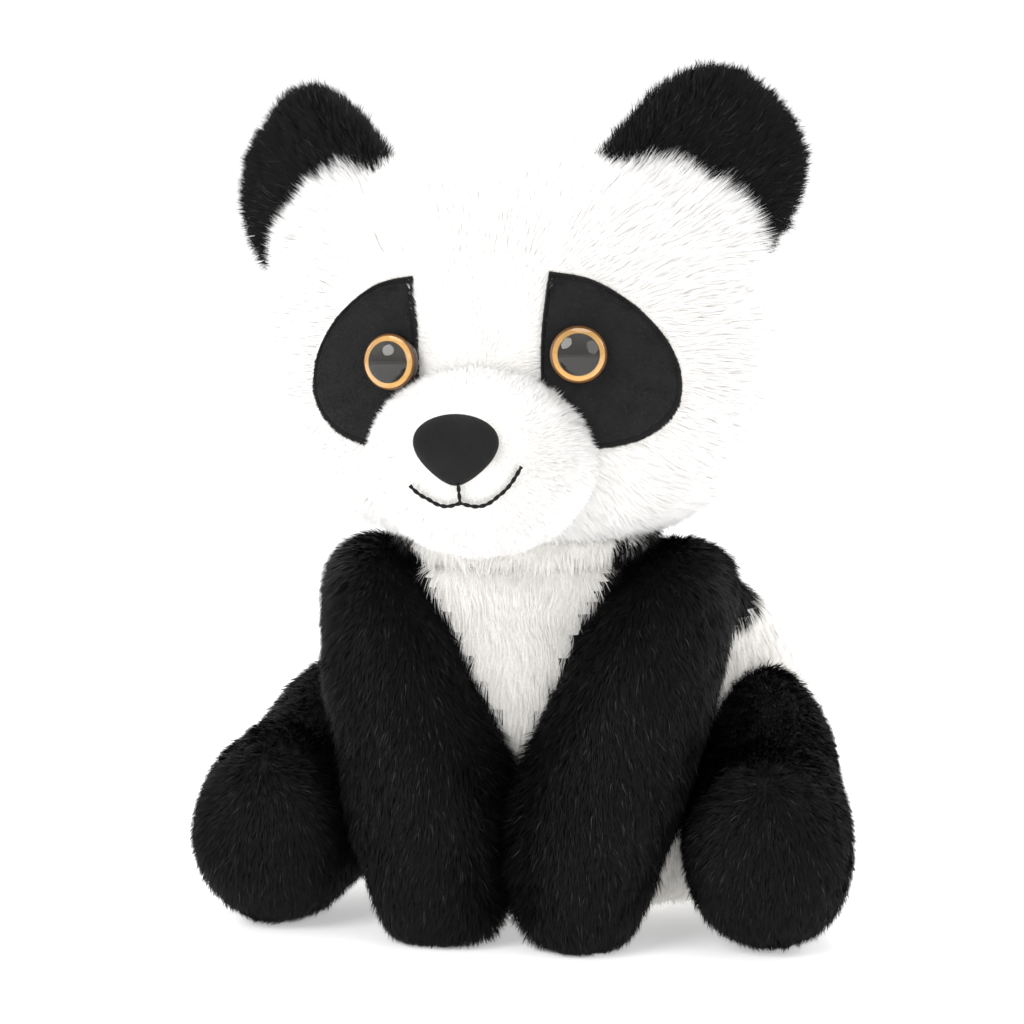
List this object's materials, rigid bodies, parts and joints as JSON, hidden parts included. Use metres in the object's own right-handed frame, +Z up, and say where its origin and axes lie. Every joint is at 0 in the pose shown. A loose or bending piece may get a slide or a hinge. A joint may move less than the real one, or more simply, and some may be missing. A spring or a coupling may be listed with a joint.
{
  "type": "plush panda",
  "caption": "Sitting plush panda with stuffed head, ears, torso, arms, legs and tail sewn on, domed safety eyes on dark patches, padded nose and embroidered mouth.",
  "frame": {"origin": "on the flat of the seat, on the middle plane of the toy", "axes": "-Y is where the face looks, +Z is up, +X is towards the toy's own left side; the seat rests on Z = 0"},
  "size_m": [0.2224, 0.264, 0.2858],
  "materials": {
    "white_plush": "matte",
    "short_white_plush": "matte",
    "black_plush": "matte",
    "short_black_plush": "matte",
    "nose_velour": "matte",
    "polyester_fibre": "matte",
    "bag_cloth": "matte",
    "black_thread": "satin",
    "white_thread": "satin",
    "black_plastic": "gloss",
    "white_plastic": "satin",
    "clear_plastic": "gloss",
    "gold_foil": "satin"
  },
  "bodies": {
    "torso": {"torso_front_cover": "white_plush", "torso_back_cover": "white_plush", "shoulder_yoke": "black_plush", "torso_stuffing": "polyester_fibre", "pellet_bag": "bag_cloth", "closing_stitch": "white_thread"},
    "neck": {"neck_wad": "polyester_fibre"},
    "head": {"head_cover": "white_plush", "head_stuffing": "polyester_fibre", "muzzle_cover": "short_white_plush", "muzzle_stuffing": "polyester_fibre", "nose_cover": "nose_velour", "nose_pad": "polyester_fibre", "mouth_line_thread": "black_thread", "mouth_smile_thread": "black_thread", "eye_patch_left": "short_black_plush", "eye_shank_left": "black_plastic", "eye_washer_left": "white_plastic", "eye_iris_left": "gold_foil", "eye_pupil_left": "black_plastic", "eye_lens_left": "clear_plastic", "eye_patch_right": "short_black_plush", "eye_shank_right": "black_plastic", "eye_washer_right": "white_plastic", "eye_iris_right": "gold_foil", "eye_pupil_right": "black_plastic", "eye_lens_right": "clear_plastic"},
    "ear_left": {"ear_front_left": "black_plush", "ear_back_left": "black_plush", "ear_batting_left": "polyester_fibre"},
    "arm_left": {"arm_cover_left": "black_plush", "arm_stuffing_left": "polyester_fibre"},
    "leg_left": {"leg_cover_left": "black_plush", "foot_sole_left": "black_plush", "leg_stuffing_left": "polyester_fibre"},
    "ear_right": {"ear_front_right": "black_plush", "ear_back_right": "black_plush", "ear_batting_right": "polyester_fibre"},
    "arm_right": {"arm_cover_right": "black_plush", "arm_stuffing_right": "polyester_fibre"},
    "leg_right": {"leg_cover_right": "black_plush", "foot_sole_right": "black_plush", "leg_stuffing_right": "polyester_fibre"},
    "tail": {"tail_cover": "white_plush", "tail_stuffing": "polyester_fibre"}
  },
  "joints": [
    {"name": "head_turn", "type": "hinge", "parent": "torso", "child": "neck", "pos_m": [0, -0.038, 0.135], "axis": [0, 0, 1], "range_deg": [-25, 25], "stiffness_Nm_per_rad": 0.6},
    {"name": "head_nod", "type": "hinge", "parent": "neck", "child": "head", "pos_m": [0, -0.038, 0.135], "axis": [1, 0, 0], "range_deg": [-15, 5], "stiffness_Nm_per_rad": 1.5, "springref_deg": -0.92},
    {"name": "ear_fold_left", "type": "hinge", "parent": "head", "child": "ear_left", "pos_m": [0.06017, -0.05606, 0.25306], "axis": [0.6783, 0.3308, -0.6561], "range_deg": [-12, 12], "stiffness_Nm_per_rad": 0.03},
    {"name": "arm_raise_left", "type": "hinge", "parent": "torso", "child": "arm_left", "pos_m": [0.054, -0.012, 0.128], "axis": [-1, 0, 0], "range_deg": [0, 9]},
    {"name": "leg_splay_left", "type": "hinge", "parent": "torso", "child": "leg_left", "pos_m": [0.076, 0.024, 0.04], "axis": [0, 0, 1], "range_deg": [0, 25]},
    {"name": "ear_fold_right", "type": "hinge", "parent": "head", "child": "ear_right", "pos_m": [-0.06487, -0.05606, 0.24962], "axis": [0.6355, -0.31, 0.7071], "range_deg": [-12, 12], "stiffness_Nm_per_rad": 0.03},
    {"name": "arm_raise_right", "type": "hinge", "parent": "torso", "child": "arm_right", "pos_m": [-0.054, -0.012, 0.128], "axis": [-1, 0, 0], "range_deg": [0, 9]},
    {"name": "leg_splay_right", "type": "hinge", "parent": "torso", "child": "leg_right", "pos_m": [-0.076, 0.024, 0.04], "axis": [0, 0, -1], "range_deg": [0, 25]},
    {"name": "tail_wag", "type": "hinge", "parent": "torso", "child": "tail", "pos_m": [0, 0.1, 0.036], "axis": [0, 0, 1], "range_deg": [-8, 8], "stiffness_Nm_per_rad": 0.03}
  ]
}
